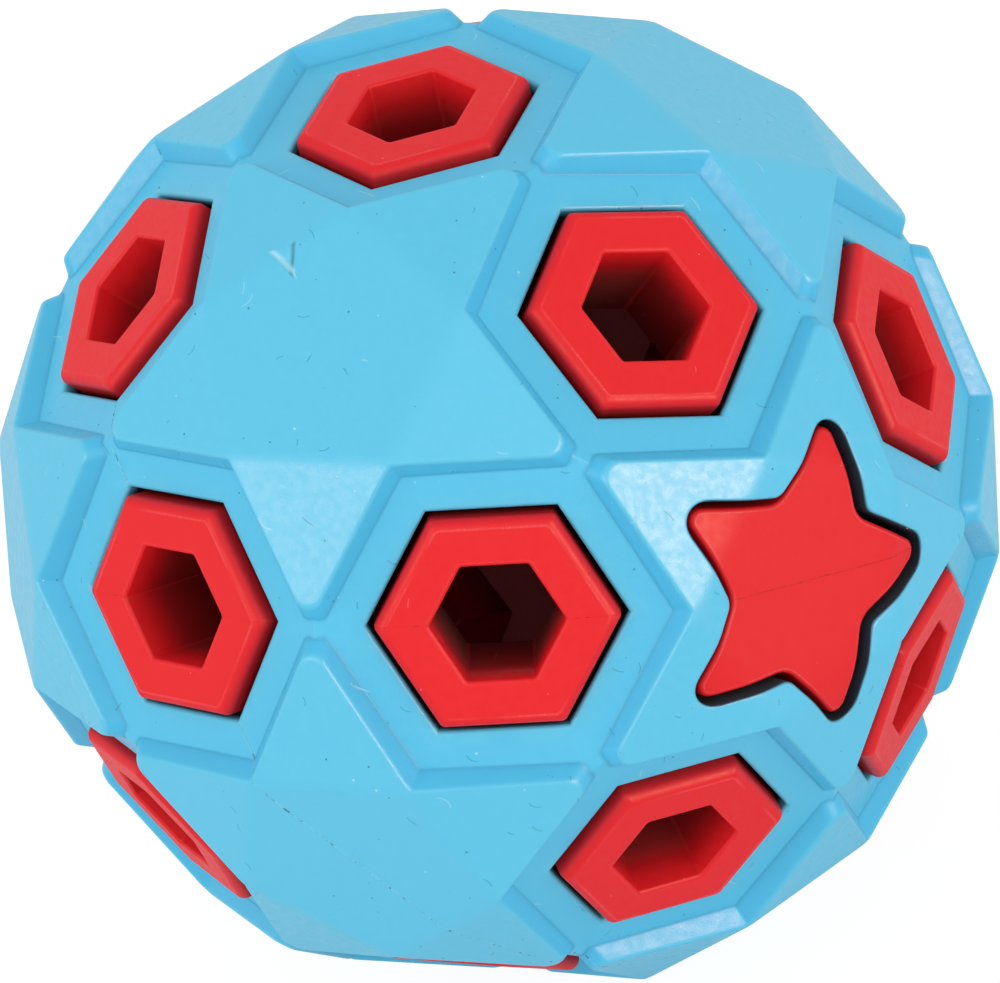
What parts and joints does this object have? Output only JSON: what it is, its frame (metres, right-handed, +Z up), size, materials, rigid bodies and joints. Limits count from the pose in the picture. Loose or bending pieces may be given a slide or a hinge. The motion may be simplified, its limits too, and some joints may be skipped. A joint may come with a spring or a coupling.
{
  "type": "treat dispensing ball",
  "caption": "Faceted hollow rubber ball: a blue shell with six-sided recesses round a red core whose six-sided tubes let dry treats in and out as it rolls.",
  "frame": {"origin": "on the surface the ball stands on, under the middle of the ball, which stands on the rim of a recess", "axes": "+Z up through the middle of the top tube and the bottom tube; -Y to the front, towards the large plain flat that leans up beside the top tube; +X to the right, on the side of the front star"},
  "size_m": [0.0886, 0.0888, 0.0838],
  "materials": {
    "shell_rubber": "satin moulded blue rubber",
    "tube_rubber": "satin moulded red rubber",
    "core_rubber": "satin moulded red rubber, seen only through the holes"
  },
  "bodies": {
    "root": {"shell_half_front": "shell_rubber", "shell_half_rear": "shell_rubber", "core_half_upper": "core_rubber", "core_half_lower": "core_rubber", "star_front": "tube_rubber", "star_rear": "tube_rubber", "tube_top": "tube_rubber", "tube_upper_1": "tube_rubber", "tube_upper_2": "tube_rubber", "tube_upper_3": "tube_rubber", "tube_upper_side_1": "tube_rubber", "tube_upper_side_2": "tube_rubber", "tube_upper_side_3": "tube_rubber", "tube_upper_side_4": "tube_rubber", "tube_upper_side_5": "tube_rubber", "tube_upper_side_6": "tube_rubber", "tube_lower_side_1": "tube_rubber", "tube_lower_side_2": "tube_rubber", "tube_lower_side_3": "tube_rubber", "tube_lower_side_4": "tube_rubber", "tube_lower_side_5": "tube_rubber", "tube_lower_side_6": "tube_rubber", "tube_lower_1": "tube_rubber", "tube_lower_2": "tube_rubber", "tube_lower_3": "tube_rubber", "tube_bottom": "tube_rubber"}
  },
  "joints": []
}
